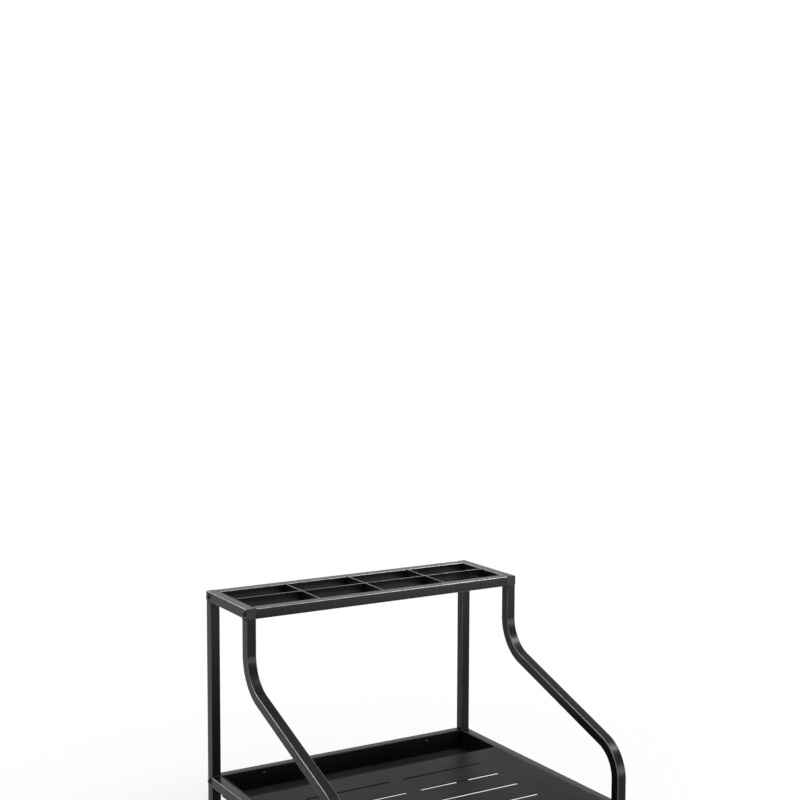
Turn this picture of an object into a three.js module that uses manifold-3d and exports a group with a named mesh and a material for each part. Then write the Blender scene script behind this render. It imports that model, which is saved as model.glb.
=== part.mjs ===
// A free-standing ski rack stand of black square tube.
// Two welded side frames, each with a bent front tube, are joined by bolted cross rails. The open ring at
// the top is divided into bays by flat bars. The lower frame carries a sheet deck with drain slots, and
// behind it a deep tray under the bays.
//
// Millimetres. +Z is up, -Y is the front, and the origin is on the floor in the middle of the footprint.

import * as THREE from "three";
import { mergeVertices } from "three/addons/utils/BufferGeometryUtils.js";
import Module from "manifold-3d";

// Overall sizes
const rackWidth = 600;
const rackDepth = 540;
const rackHeight = 500;
const towerDepth = 185;
const deckHeight = 135;

// Square tube of every post and rail
const tubeSize = 20;
const tubeWall = 1.5;
const tubeCorner = 2.5;
const endPlate = 5;

// Bent front tube: the radii are those of its centre line
const straightUnderRing = 65;
const slopeDegrees = 20;
const upperBendRadius = 80;
const lowerBendRadius = 68;
const bendSteps = 8;

// Flat bars of the grid inside the top ring
const barThickness = 3;
const barHeight = 20;
const bayCount = 4;

// Folded sheet of the deck and the tray, and the mat in the tray
const sheet = 1.5;
const middleRailSetback = 15;
const trayDepth = 40;
const matThickness = 3;
const matInset = 1.5;
const deckFlange = 16;
const slotRows = 5;
const slotsInRow = 2;
const slotWidth = 6;
const slotBridge = 30;
const slotSideMargin = 85;
const slotEndMargin = 45;

// Button head bolts that hold the cross rails
const boltRadius = 3;
const boltLength = 32;
const boltHeadRadius = 5.25;
const boltHeadHeight = 3.3;
const boltHeadEdge = 0.7;
const boltSocketWidth = 4;
const boltSocketDepth = 2;

// Sheet metal screws of the tray and the deck
const screwRadius = 1.8;
const screwLength = 9;
const screwHeadRadius = 3.8;
const screwHeadHeight = 2.2;
const screwHeadEdge = 0.5;
const screwSocketWidth = 2.5;
const screwSocketDepth = 1.2;
const screwInset = 90;

// Plastic plugs in the open ends of the top side rails
const plugLip = 1.5;
const plugInsert = 4;
const plugRecess = 0.5;
const plugBorder = 3;

// Levelling feet
const padRadius = 14;
const padHeight = 9;
const padRim = 4;
const padChamfer = 1;
const padHubRadius = 8;
const padSocketDepth = 5;
const studRadius = 4;
const studLength = 42;
const studChamfer = 1;
const insertLip = 2;
const insertLength = 18;

// Clearances, and how finely round shapes are stepped
const fitGap = 0.3;
const cutOverrun = 1;
const weldTolerance = 0.0001;
const cornerSteps = 1;
const slotEndSteps = 3;
const roundSteps = 16;
const fastenerSteps = 12;
const domeSteps = 3;
const hexSides = 6;

const quarterTurn = Math.PI / 2;
const halfTurn = Math.PI;

// Places worked out from the sizes above
const sideX = (rackWidth - tubeSize) / 2;
const innerX = rackWidth / 2 - tubeSize;
const rearY = rackDepth / 2;
const towerFrontY = rearY - towerDepth;
const frontY = -rackDepth / 2;
const ringFrontRailY = towerFrontY + tubeSize / 2;
const rearRailY = rearY - tubeSize / 2;
const frontLegY = frontY + tubeSize / 2;
const middleRailY = towerFrontY + middleRailSetback + tubeSize / 2;
const ringZ = rackHeight - tubeSize / 2;
const postTop = rackHeight - tubeSize - fitGap;
const insertZ = padHeight + fitGap;
const legEnd = insertZ + insertLip + fitGap;
const lowerRailZ = deckHeight - tubeSize / 2;
const middleRailZ = lowerRailZ - sheet - fitGap;
const crossRailLength = 2 * (innerX - fitGap);
const bore = tubeSize - 2 * tubeWall;
const boreCorner = tubeCorner - tubeWall;

// Finishes
const powderCoat = new THREE.MeshStandardMaterial({ color: 0x1c1d1f, roughness: 0.5, metalness: 0.25 });
const blackPlastic = new THREE.MeshStandardMaterial({ color: 0x232425, roughness: 0.6, metalness: 0 });
const blackSteel = new THREE.MeshStandardMaterial({ color: 0x0d0d0e, roughness: 0.4, metalness: 0.7 });
const zincSteel = new THREE.MeshStandardMaterial({ color: 0xa9abad, roughness: 0.35, metalness: 0.9 });
const blackRubber = new THREE.MeshStandardMaterial({ color: 0x0b0b0b, roughness: 0.9, metalness: 0 });

const wasm = await Module();
wasm.setup();

// The closed solid of a geometry, for cutting and joining.
function solidOf(geometry) {
  const bare = geometry.clone();
  bare.deleteAttribute("normal");
  bare.deleteAttribute("uv");
  const merged = mergeVertices(bare, weldTolerance);
  return new wasm.Manifold(
    new wasm.Mesh({
      numProp: 3,
      vertProperties: merged.attributes.position.array,
      triVerts: new Uint32Array(merged.index.array),
    }),
  );
}

function geometryOf(solid) {
  const mesh = solid.getMesh();
  const geometry = new THREE.BufferGeometry();
  geometry.setAttribute("position", new THREE.BufferAttribute(mesh.vertProperties, 3));
  geometry.setIndex(new THREE.BufferAttribute(mesh.triVerts, 1));
  geometry.computeVertexNormals();
  return geometry;
}

function cutAway(geometry, tools) {
  let solid = solidOf(geometry);
  for (const tool of tools) {
    solid = solid.subtract(solidOf(tool));
  }
  return geometryOf(solid);
}

function joined(geometries) {
  let solid = solidOf(geometries[0]);
  for (const geometry of geometries.slice(1)) {
    solid = solid.add(solidOf(geometry));
  }
  return geometryOf(solid);
}

function piece(name, geometry, material, x, y, z) {
  const mesh = new THREE.Mesh(geometry, material);
  mesh.name = name;
  mesh.position.set(x, y, z);
  return mesh;
}

// A box from its lowest corner and its three sizes.
function boxFrom(x, y, z, width, depth, height) {
  const box = new THREE.BoxGeometry(width, depth, height);
  box.translate(x + width / 2, y + depth / 2, z + height / 2);
  return box;
}

// A round cutter along one axis, centred on a point.
function roundCutter(axis, radius, length, x, y, z) {
  const cutter = new THREE.CylinderGeometry(radius, radius, length, fastenerSteps);
  if (axis === "x") {
    cutter.rotateZ(quarterTurn);
  }
  if (axis === "z") {
    cutter.rotateX(quarterTurn);
  }
  cutter.translate(x, y, z);
  return cutter;
}

function roundedSquare(side, corner) {
  const flat = side / 2 - corner;
  const shape = new THREE.Shape();
  shape.absarc(flat, flat, corner, 0, quarterTurn);
  shape.absarc(-flat, flat, corner, quarterTurn, halfTurn);
  shape.absarc(-flat, -flat, corner, halfTurn, halfTurn + quarterTurn);
  shape.absarc(flat, -flat, corner, halfTurn + quarterTurn, 2 * halfTurn);
  shape.closePath();
  return shape;
}

function tubeSection() {
  const section = roundedSquare(tubeSize, tubeCorner);
  section.holes.push(roundedSquare(bore, boreCorner));
  return section;
}

// A section drawn out along +Z from zero.
function drawn(section, length, curveSegments = cornerSteps) {
  return new THREE.ExtrudeGeometry(section, { depth: length, bevelEnabled: false, curveSegments });
}

// Bolts and screws: a rod along -Y under a domed head, with a hexagonal socket.
function domedScrew(size) {
  const profile = [new THREE.Vector2(0, -size.length)];
  profile.push(new THREE.Vector2(size.radius, -size.length));
  profile.push(new THREE.Vector2(size.radius, 0));
  profile.push(new THREE.Vector2(size.headRadius, 0));
  for (let i = 0; i < domeSteps; i++) {
    const angle = (quarterTurn * i) / domeSteps;
    const rise = (size.headHeight - size.headEdge) * Math.sin(angle);
    profile.push(new THREE.Vector2(size.headRadius * Math.cos(angle), size.headEdge + rise));
  }
  profile.push(new THREE.Vector2(0, size.headHeight));
  const socketRadius = size.socketWidth / Math.sqrt(3);
  const socket = new THREE.CylinderGeometry(socketRadius, socketRadius, 2 * size.socketDepth, hexSides);
  socket.translate(0, size.headHeight, 0);
  return cutAway(new THREE.LatheGeometry(profile, fastenerSteps), [socket]);
}

const boltSize = {
  radius: boltRadius,
  length: boltLength,
  headRadius: boltHeadRadius,
  headHeight: boltHeadHeight,
  headEdge: boltHeadEdge,
  socketWidth: boltSocketWidth,
  socketDepth: boltSocketDepth,
};

const screwSize = {
  radius: screwRadius,
  length: screwLength,
  headRadius: screwHeadRadius,
  headHeight: screwHeadHeight,
  headEdge: screwHeadEdge,
  socketWidth: screwSocketWidth,
  socketDepth: screwSocketDepth,
};

const sides = [
  { word: "left", sign: -1 },
  { word: "right", sign: 1 },
];

// The cutter for a bolt that crosses a whole tube along X.
function boltCutter(y, z) {
  return roundCutter("x", boltRadius + fitGap, tubeSize + 2 * cutOverrun, 0, y, z);
}

// The cutter for a screw in one wall of a tube, on the side that the signs point to.
function wallCutter(axis, sign, along) {
  const reach = tubeSize / 2 + cutOverrun;
  const middle = (sign * reach) / 2;
  if (axis === "x") {
    return roundCutter("x", screwRadius + fitGap, reach, middle, 0, along);
  }
  return roundCutter("y", screwRadius + fitGap, reach, 0, middle, along);
}

// The centre line of a bent front tube in the side view, with the heading at each point.
// It runs down from the ring, bends forward into the slope, and bends down again into the leg.
function frontTubeStations() {
  const slope = THREE.MathUtils.degToRad(slopeDegrees);
  const turn = quarterTurn - slope;
  const stations = [];
  const station = (y, z, heading) => stations.push({ y, z, heading });

  const upperY = ringFrontRailY - upperBendRadius;
  const upperZ = rackHeight - tubeSize - straightUnderRing;
  station(ringFrontRailY, postTop, quarterTurn);
  for (let i = 0; i <= bendSteps; i++) {
    const angle = (turn * i) / bendSteps;
    const y = upperY + upperBendRadius * Math.cos(angle);
    const z = upperZ - upperBendRadius * Math.sin(angle);
    station(y, z, quarterTurn - angle);
  }

  const last = stations[stations.length - 1];
  const lowerY = frontLegY + lowerBendRadius;
  const slopeEndY = lowerY - lowerBendRadius * Math.sin(slope);
  const slopeEndZ = last.z - (last.y - slopeEndY) * Math.tan(slope);
  const lowerZ = slopeEndZ - lowerBendRadius * Math.cos(slope);
  for (let i = 0; i <= bendSteps; i++) {
    const heading = slope + (turn * i) / bendSteps;
    const y = lowerY - lowerBendRadius * Math.sin(heading);
    const z = lowerZ + lowerBendRadius * Math.cos(heading);
    station(y, z, heading);
  }
  station(frontLegY, legEnd, quarterTurn);
  return stations;
}

// A curve that gives back the stations themselves, so the straight runs take one step each.
class StationCurve extends THREE.Curve {
  constructor(stations) {
    super();
    this.stations = stations;
  }

  stationAt(share) {
    return this.stations[Math.round(share * (this.stations.length - 1))];
  }

  getPointAt(share, target = new THREE.Vector3()) {
    const { y, z } = this.stationAt(share);
    return target.set(0, y, z);
  }

  getTangentAt(share, target = new THREE.Vector3()) {
    const { heading } = this.stationAt(share);
    return target.set(0, -Math.cos(heading), -Math.sin(heading));
  }
}

function frontTube() {
  const stations = frontTubeStations();
  const swept = new THREE.ExtrudeGeometry(tubeSection(), {
    steps: stations.length - 1,
    bevelEnabled: false,
    curveSegments: cornerSteps,
    extrudePath: new StationCurve(stations),
  });
  return cutAway(swept, [boltCutter(frontLegY, lowerRailZ)]);
}

function rearPost() {
  const post = drawn(tubeSection(), postTop - legEnd);
  return cutAway(post, [boltCutter(0, lowerRailZ - legEnd)]);
}

// The top side rail lies over the post and the front tube, with a plug in each end.
function topSideRail() {
  const endSetback = plugLip + fitGap;
  const length = towerDepth - 2 * endSetback;
  const frontBolt = tubeSize / 2 - endSetback;
  const rail = drawn(tubeSection(), length);
  return cutAway(rail, [boltCutter(0, frontBolt), boltCutter(0, length - frontBolt)]);
}

// The lower side rail runs between the front leg and the rear post.
const lowerSideStart = frontY + tubeSize + fitGap;
const lowerSideEnd = rearY - tubeSize - fitGap;

// The deck's side flanges end in front of the middle rail, and two screws hold each of them.
const flangeRearY = middleRailY - tubeSize / 2 - fitGap;
const deckFrontY = lowerSideStart;
const sideScrewPlaces = [deckFrontY + screwInset, flangeRearY - screwInset];

function lowerSideRail(sign) {
  const rail = drawn(tubeSection(), lowerSideEnd - lowerSideStart);
  const boltDrop = lowerRailZ - middleRailZ;
  const cutters = [boltCutter(boltDrop, middleRailY - lowerSideStart)];
  for (const place of sideScrewPlaces) {
    cutters.push(wallCutter("x", -sign, place - lowerSideStart));
  }
  return cutAway(rail, cutters);
}

// A cross rail has a threaded plate in each end. Its screw holes, if any, face the front or the rear.
function crossRail(holeSign) {
  const rail = drawn(roundedSquare(tubeSize, tubeCorner), crossRailLength);
  const cavity = drawn(roundedSquare(bore, boreCorner), crossRailLength - 2 * endPlate);
  cavity.translate(0, 0, endPlate);
  const throughLength = crossRailLength + 2 * cutOverrun;
  const thread = roundCutter("z", boltRadius + fitGap, throughLength, 0, 0, crossRailLength / 2);
  const cutters = [cavity, thread];
  if (holeSign !== 0) {
    cutters.push(wallCutter("y", holeSign, screwInset));
    cutters.push(wallCutter("y", holeSign, crossRailLength - screwInset));
  }
  return cutAway(rail, cutters);
}

// A flat bar along X with slots half its height deep, in its top edge or in its bottom edge.
function slottedBar(length, slots, slotSign) {
  const slotEdge = (slotSign * barHeight) / 2;
  const halfSlot = barThickness / 2 + fitGap;
  const slotFloor = -slotSign * fitGap;
  const outline = new THREE.Shape();
  outline.moveTo(-length / 2, -slotEdge);
  outline.lineTo(-length / 2, slotEdge);
  for (const x of slots) {
    outline.lineTo(x - halfSlot, slotEdge);
    outline.lineTo(x - halfSlot, slotFloor);
    outline.lineTo(x + halfSlot, slotFloor);
    outline.lineTo(x + halfSlot, slotEdge);
  }
  outline.lineTo(length / 2, slotEdge);
  outline.lineTo(length / 2, -slotEdge);
  outline.closePath();
  const bar = drawn(outline, barThickness);
  bar.translate(0, 0, -barThickness / 2);
  bar.rotateX(quarterTurn);
  return bar;
}

// A screw hole in a folded sheet is cut from both sides of its wall.
const wallCut = 2 * (sheet + cutOverrun);

// The tray is an open box between the lower rails, welded from five plates of sheet. Its floor hangs
// below the rails, and a wall lies against each of the two cross rails.
const trayFrontY = middleRailY + tubeSize / 2 + fitGap;
const trayRearY = rearY - tubeSize - fitGap;
const trayHalfWidth = innerX - fitGap;
const trayFloorTop = deckHeight - trayDepth;
const screwX = innerX - fitGap - screwInset;
const traySeats = [
  { word: "rear", wallY: trayRearY, inward: -1, z: lowerRailZ },
  { word: "front", wallY: trayFrontY, inward: 1, z: middleRailZ },
];

function trayFloor() {
  const run = trayRearY - trayFrontY;
  return boxFrom(-trayHalfWidth, trayFrontY, trayFloorTop - sheet, 2 * trayHalfWidth, run, sheet);
}

function trayWall(seat) {
  const start = Math.min(seat.wallY, seat.wallY + seat.inward * sheet);
  const height = trayDepth - fitGap;
  const wall = boxFrom(-trayHalfWidth, start, trayFloorTop + fitGap, 2 * trayHalfWidth, sheet, height);
  const cutters = sides.map(({ sign }) =>
    roundCutter("y", screwRadius + fitGap, wallCut, sign * screwX, seat.wallY, seat.z),
  );
  return cutAway(wall, cutters);
}

function trayEnd(sign) {
  const x = sign > 0 ? trayHalfWidth - sheet : -trayHalfWidth;
  const inset = sheet + fitGap;
  const run = trayRearY - trayFrontY - 2 * inset;
  return boxFrom(x, trayFrontY + inset, trayFloorTop + fitGap, sheet, run, trayDepth - fitGap);
}

function trayMat() {
  const halfWidth = trayHalfWidth - sheet - matInset;
  const start = trayFrontY + sheet + matInset;
  const run = trayRearY - trayFrontY - 2 * (sheet + matInset);
  return boxFrom(-halfWidth, start, trayFloorTop + fitGap, 2 * halfWidth, run, matThickness);
}

// The deck is a sheet with rows of drain slots. Its rear edge lies over the middle rail, and flanges
// are turned down along its sides and its front.
function slotHole(x, y, length) {
  const radius = slotWidth / 2;
  const reach = length / 2 - radius;
  const hole = new THREE.Path();
  hole.absarc(x + reach, y, radius, -quarterTurn, quarterTurn);
  hole.absarc(x - reach, y, radius, quarterTurn, quarterTurn + halfTurn);
  hole.closePath();
  return hole;
}

function frontDeck() {
  const halfWidth = innerX - fitGap;
  const rearEdge = trayFrontY - fitGap;
  const outline = new THREE.Shape();
  outline.moveTo(-halfWidth, deckFrontY);
  outline.lineTo(halfWidth, deckFrontY);
  outline.lineTo(halfWidth, rearEdge);
  outline.lineTo(-halfWidth, rearEdge);
  outline.closePath();

  const slotSpan = 2 * (innerX - slotSideMargin);
  const slotLength = (slotSpan - (slotsInRow - 1) * slotBridge) / slotsInRow;
  const firstRow = deckFrontY + slotEndMargin;
  const lastRow = flangeRearY - slotEndMargin;
  for (let row = 0; row < slotRows; row++) {
    const y = firstRow + ((lastRow - firstRow) * row) / (slotRows - 1);
    for (let i = 0; i < slotsInRow; i++) {
      const x = -slotSpan / 2 + slotLength / 2 + i * (slotLength + slotBridge);
      outline.holes.push(slotHole(x, y, slotLength));
    }
  }
  const plate = drawn(outline, sheet, slotEndSteps);
  plate.translate(0, 0, deckHeight - sheet);

  const flangeBottom = deckHeight - deckFlange;
  const flangeRun = flangeRearY - deckFrontY;
  const parts = [plate];
  parts.push(boxFrom(-halfWidth, deckFrontY, flangeBottom, sheet, flangeRun, deckFlange));
  parts.push(boxFrom(halfWidth - sheet, deckFrontY, flangeBottom, sheet, flangeRun, deckFlange));
  parts.push(boxFrom(-halfWidth, deckFrontY, flangeBottom, 2 * halfWidth, sheet, deckFlange));

  const cutters = [];
  for (const { sign } of sides) {
    for (const place of sideScrewPlaces) {
      cutters.push(roundCutter("x", screwRadius + fitGap, wallCut, sign * halfWidth, place, lowerRailZ));
    }
    cutters.push(roundCutter("y", screwRadius + fitGap, wallCut, sign * screwX, deckFrontY, lowerRailZ));
  }
  return cutAway(joined(parts), cutters);
}

// The end plug: a lip with a shallow square recess in its face, over a short body in the tube.
function endPlug() {
  const lip = drawn(roundedSquare(tubeSize, tubeCorner), plugLip);
  const body = drawn(roundedSquare(bore - 2 * fitGap, boreCorner), plugInsert + plugLip);
  body.translate(0, 0, -plugInsert);
  const faceSide = tubeSize - 2 * plugBorder;
  const floor = plugLip - plugRecess;
  const recess = boxFrom(-faceSide / 2, -faceSide / 2, floor, faceSide, faceSide, plugRecess + cutOverrun);
  return cutAway(joined([lip, body]), [recess]);
}

// The leg insert: a lip under the tube's end and a threaded body inside it.
function legInsert() {
  const lip = drawn(roundedSquare(tubeSize, tubeCorner), insertLip);
  const body = drawn(roundedSquare(bore - 2 * fitGap, boreCorner), insertLip + insertLength);
  const length = insertLip + insertLength;
  const thread = roundCutter("z", studRadius + fitGap, length + 2 * cutOverrun, 0, 0, length / 2);
  return cutAway(joined([lip, body]), [thread]);
}

function lathed(points) {
  const geometry = new THREE.LatheGeometry(
    points.map(([radius, height]) => new THREE.Vector2(radius, height)),
    roundSteps,
  );
  geometry.rotateX(quarterTurn);
  return geometry;
}

function footPad() {
  const socketFloor = padHeight - padSocketDepth;
  return lathed([
    [0, 0],
    [padRadius - padChamfer, 0],
    [padRadius, padChamfer],
    [padRadius, padRim],
    [padHubRadius, padHeight],
    [studRadius + fitGap, padHeight],
    [studRadius + fitGap, socketFloor],
    [0, socketFloor],
  ]);
}

function footStud() {
  return lathed([
    [0, 0],
    [studRadius, 0],
    [studRadius, studLength - studChamfer],
    [studRadius - studChamfer, studLength],
    [0, studLength],
  ]);
}

const rack = new THREE.Group();

// The two side frames
for (const { word, sign } of sides) {
  const x = sign * sideX;
  const frame = new THREE.Group();
  frame.position.x = x;
  frame.add(piece("rear_post_" + word, rearPost(), powderCoat, 0, rearRailY, legEnd));
  frame.add(piece("front_tube_" + word, frontTube(), powderCoat, 0, 0, 0));

  const topRail = piece("top_side_rail_" + word, topSideRail(), powderCoat, 0, 0, ringZ);
  topRail.position.y = towerFrontY + plugLip + fitGap;
  topRail.rotation.x = -quarterTurn;
  frame.add(topRail);

  const lowerRail = piece("lower_side_rail_" + word, lowerSideRail(sign), powderCoat, 0, 0, lowerRailZ);
  lowerRail.position.y = lowerSideStart;
  lowerRail.rotation.x = -quarterTurn;
  frame.add(lowerRail);

  const frontPlug = piece("end_plug_front_" + word, endPlug(), blackPlastic, 0, towerFrontY + plugLip, ringZ);
  frontPlug.rotation.x = quarterTurn;
  frame.add(frontPlug);
  const rearPlug = piece("end_plug_rear_" + word, endPlug(), blackPlastic, 0, rearY - plugLip, ringZ);
  rearPlug.rotation.x = -quarterTurn;
  frame.add(rearPlug);
  rack.add(frame);
}

// The cross rails, and the two bolts of each
const crossRails = [
  { name: "top_front_rail", y: ringFrontRailY, z: ringZ, holeSign: 0 },
  { name: "top_rear_rail", y: rearRailY, z: ringZ, holeSign: 0 },
  { name: "lower_rear_rail", y: rearRailY, z: lowerRailZ, holeSign: -1 },
  { name: "lower_middle_rail", y: middleRailY, z: middleRailZ, holeSign: 1 },
  { name: "lower_front_rail", y: frontLegY, z: lowerRailZ, holeSign: 1 },
];
for (const { name, y, z, holeSign } of crossRails) {
  const rail = piece(name, crossRail(holeSign), powderCoat, -crossRailLength / 2, y, z);
  rail.rotation.y = quarterTurn;
  rack.add(rail);
  for (const { word, sign } of sides) {
    const bolt = piece("bolt_" + name + "_" + word, domedScrew(boltSize), blackSteel, 0, y, z);
    bolt.position.x = sign * (rackWidth / 2 + fitGap);
    bolt.rotation.z = -sign * quarterTurn;
    rack.add(bolt);
  }
}

// The grid of flat bars in the ring: cross bars over one long bar, each slotted into the other
const gridY = (ringFrontRailY + rearRailY) / 2;
const barZ = rackHeight - barHeight / 2;
const bayPitch = (2 * innerX) / bayCount;
const barPlaces = [];
for (let i = 1; i < bayCount; i++) {
  barPlaces.push(-innerX + i * bayPitch);
}
rack.add(piece("long_grid_bar", slottedBar(crossRailLength, barPlaces, 1), powderCoat, 0, gridY, barZ));
const crossBarLength = towerDepth - 2 * (tubeSize + fitGap);
barPlaces.forEach((x, i) => {
  const name = "cross_grid_bar_" + (i + 1);
  const bar = piece(name, slottedBar(crossBarLength, [0], -1), powderCoat, x, gridY, barZ);
  bar.rotation.z = quarterTurn;
  rack.add(bar);
});

// Tray, mat and deck
rack.add(piece("tray_floor", trayFloor(), powderCoat, 0, 0, 0));
for (const seat of traySeats) {
  rack.add(piece("tray_wall_" + seat.word, trayWall(seat), powderCoat, 0, 0, 0));
}
for (const { word, sign } of sides) {
  rack.add(piece("tray_end_" + word, trayEnd(sign), powderCoat, 0, 0, 0));
}
rack.add(piece("tray_mat", trayMat(), blackRubber, 0, 0, 0));
rack.add(piece("front_deck", frontDeck(), powderCoat, 0, 0, 0));

// The screws sit on the inner faces of the tray's walls and of the deck's flanges
for (const { word, sign } of sides) {
  const x = sign * screwX;
  for (const seat of traySeats) {
    const name = "tray_screw_" + seat.word + "_" + word;
    const y = seat.wallY + seat.inward * (sheet + fitGap);
    const screw = piece(name, domedScrew(screwSize), blackSteel, x, y, seat.z);
    screw.rotation.z = seat.inward > 0 ? 0 : halfTurn;
    rack.add(screw);
  }

  const deckScrew = piece("deck_screw_front_" + word, domedScrew(screwSize), blackSteel, x, 0, lowerRailZ);
  deckScrew.position.y = deckFrontY + sheet + fitGap;
  rack.add(deckScrew);

  sideScrewPlaces.forEach((y, i) => {
    const name = "deck_screw_side_" + word + "_" + (i + 1);
    const sideScrew = piece(name, domedScrew(screwSize), blackSteel, 0, y, lowerRailZ);
    sideScrew.position.x = sign * (innerX - sheet - 2 * fitGap);
    sideScrew.rotation.z = sign * quarterTurn;
    rack.add(sideScrew);
  });
}

// The levelling feet: each pad is pressed on a stud, which screws into the insert in the leg
const legs = [
  { word: "front", y: frontLegY },
  { word: "rear", y: rearRailY },
];
for (const leg of legs) {
  for (const { word, sign } of sides) {
    const name = leg.word + "_" + word;
    const x = sign * sideX;
    rack.add(piece("leg_insert_" + name, legInsert(), blackPlastic, x, leg.y, insertZ));
    rack.add(piece("foot_pad_" + name, footPad(), blackRubber, x, leg.y, 0));
    const studZ = padHeight - padSocketDepth + fitGap;
    rack.add(piece("foot_stud_" + name, footStud(), zincSteel, x, leg.y, studZ));
  }
}

export default rack;
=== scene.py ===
# A free-standing ski rack stand of black square tube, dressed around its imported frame.
# Metres. +Z is up, -Y is the front, and the origin is on the floor in the middle of the footprint.

import math

import bmesh
import bpy
from bpy.props import FloatProperty, FloatVectorProperty, IntProperty, PointerProperty
from mathutils import Matrix, Vector


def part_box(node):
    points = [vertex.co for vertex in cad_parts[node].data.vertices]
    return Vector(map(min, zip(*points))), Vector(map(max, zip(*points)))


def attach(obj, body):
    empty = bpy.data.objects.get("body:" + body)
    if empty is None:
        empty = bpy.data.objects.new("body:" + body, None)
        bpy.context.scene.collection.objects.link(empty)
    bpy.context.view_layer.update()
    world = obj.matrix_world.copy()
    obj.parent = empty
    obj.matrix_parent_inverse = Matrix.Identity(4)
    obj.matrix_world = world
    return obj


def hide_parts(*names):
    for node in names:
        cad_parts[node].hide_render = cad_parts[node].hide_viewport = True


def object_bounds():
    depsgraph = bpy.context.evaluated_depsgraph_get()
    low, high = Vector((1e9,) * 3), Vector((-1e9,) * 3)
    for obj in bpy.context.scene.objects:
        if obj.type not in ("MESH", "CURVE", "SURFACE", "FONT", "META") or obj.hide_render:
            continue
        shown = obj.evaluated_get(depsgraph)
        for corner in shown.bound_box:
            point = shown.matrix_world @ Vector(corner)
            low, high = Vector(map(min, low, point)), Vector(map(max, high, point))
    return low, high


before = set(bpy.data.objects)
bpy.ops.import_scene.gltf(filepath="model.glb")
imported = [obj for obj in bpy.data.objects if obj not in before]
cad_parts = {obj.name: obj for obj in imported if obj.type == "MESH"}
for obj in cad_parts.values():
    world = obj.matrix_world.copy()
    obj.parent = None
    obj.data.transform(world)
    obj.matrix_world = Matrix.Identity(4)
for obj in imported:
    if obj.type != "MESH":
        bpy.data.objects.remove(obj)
CAD_LOW, CAD_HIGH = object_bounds()

bl_info = {
    "name": "Ski rack stand",
    "version": (1, 0, 0),
    "blender": (4, 5, 0),
    "location": "View3D > Sidebar > Ski Rack",
    "description": "Builds the tubes, sheet parts, fasteners and feet of a ski rack stand, and its studio",
    "category": "Object",
}

MM = 0.001
X_AXIS = Vector((1, 0, 0))
Y_AXIS = Vector((0, 1, 0))
Z_AXIS = Vector((0, 0, 1))
SAME_PLACE = 0.05 * MM
ALONG = 0.99
SMOOTH_ANGLE = math.radians(32)
SIDES = (("left", -1), ("right", 1))
CROSS_RAILS = (
    "top_front_rail", "top_rear_rail", "lower_rear_rail", "lower_middle_rail", "lower_front_rail",
)
BAY_BARS = ("long_grid_bar", "cross_grid_bar_1", "cross_grid_bar_2", "cross_grid_bar_3")
LEGS = ("front_left", "front_right", "rear_left", "rear_right")

TUBE_SLOT = "powder_coated_tube"
SHEET_SLOT = "powder_coated_sheet"
PLUG_SLOT = "plug_plastic"
FASTENER_SLOT = "black_fastener"
MAT_SLOT = "mat_rubber"
FOOT_SLOT = "foot_rubber"
STUD_SLOT = "zinc_stud"

# Steps round a corner, a tube's bend, a screw's dome and a turn of thread
CORNER_STEPS = 5
BEND_STEPS = 28
DOME_STEPS = 7
THREAD_STEPS = 28

# Tubes, welds and flat bars
GAP = 0.3 * MM
BORE_DEPTH = 12.5 * MM
BEAD_LENGTH_SHARE = 0.84
BEAD_RADIUS = 1.7 * MM
BEAD_PITCH = 1.5 * MM
TACK_LENGTH = 7 * MM
TACK_RADIUS = 1.1 * MM
TACK_PITCH = 1 * MM
TACK_HEIGHT_SHARE = 0.3
RIPPLE_STRETCH = 1.15
BAR_SLOT_PLAY = 0.1 * MM
BAR_ROUNDING = 0.45 * MM
SLOT_END_ROUNDING = 0.99

# Plugs and leg inserts
PLUG_LIP = 1.5 * MM
PLUG_SKIRT = 4 * MM
RECESS_HALF_WIDTH = 5.25 * MM
RECESS_DEPTH = 0.5 * MM
INSERT_LIP = 2 * MM

# Screws
BOLT = {
    "radius": 3 * MM, "length": 32 * MM, "head_radius": 5.25 * MM, "head_height": 3.3 * MM,
    "socket": 4 * MM,
}
SHEET_SCREW = {
    "radius": 1.8 * MM, "length": 9 * MM, "head_radius": 3.8 * MM, "head_height": 2.2 * MM,
    "socket": 2.5 * MM,
}
HEAD_RIM_SHARE = 0.22
HEAD_FLAT_SHARE = 0.52
HEAD_ROUNDING_SHARE = 0.02
SOCKET_DEPTH_SHARE = 0.6

# Feet
PAD_RIM = 4 * MM
PAD_HUB = 8 * MM
PAD_ROUNDING = 0.6 * MM
PAD_GROOVES = 3
PAD_GROOVE_SHARE = 1 / 8
THREAD_PITCH = 1.25 * MM
THREAD_DEPTH_SHARE = 0.6
STUD_ROUNDING = 0.4 * MM

# Finishes
COAT_SPREAD = 0.04
EDGE_DULLNESS = 0.18
# Share of the edge mask, and of its painted highlight, left on edges inside the rack's outer side faces
INNER_EDGES_DIMMED = {"Inner": 0.1}
COAT_DUST = (0.3, 0.29, 0.28)
RUBBER_DUST = (0.25, 0.24, 0.23)

# Studio: each lamp has its place, the point that it faces, its width and height, and its power in watts
LAMPS = {
    "Key": ((1.47, -0.87, 2.3), (0, 0, 0.3), (0.3, 1.0), 48),
    "Front strip": ((1.35, -2.3, 0.4), (0, 0, 0.4), (1.6, 0.7), 30),
    "Rim": ((-0.85, 2.2, 1.9), (0, 0, 0.4), (1.8, 0.9), 18),
    "Top left": ((-1.35, 0.8, 1.95), (0, 0, 0.3), (1.2, 0.9), 15),
}
WORLD_LIGHT = 0.25
FLOOR_SIZE = 40
FLOOR_DROP = 0.2 * MM
FLOOR_FADE = (0.4, 1.1)
FLOOR_GLOW = (0.5, 1.0)
SENSOR_WIDTH = 36


# Settings

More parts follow.
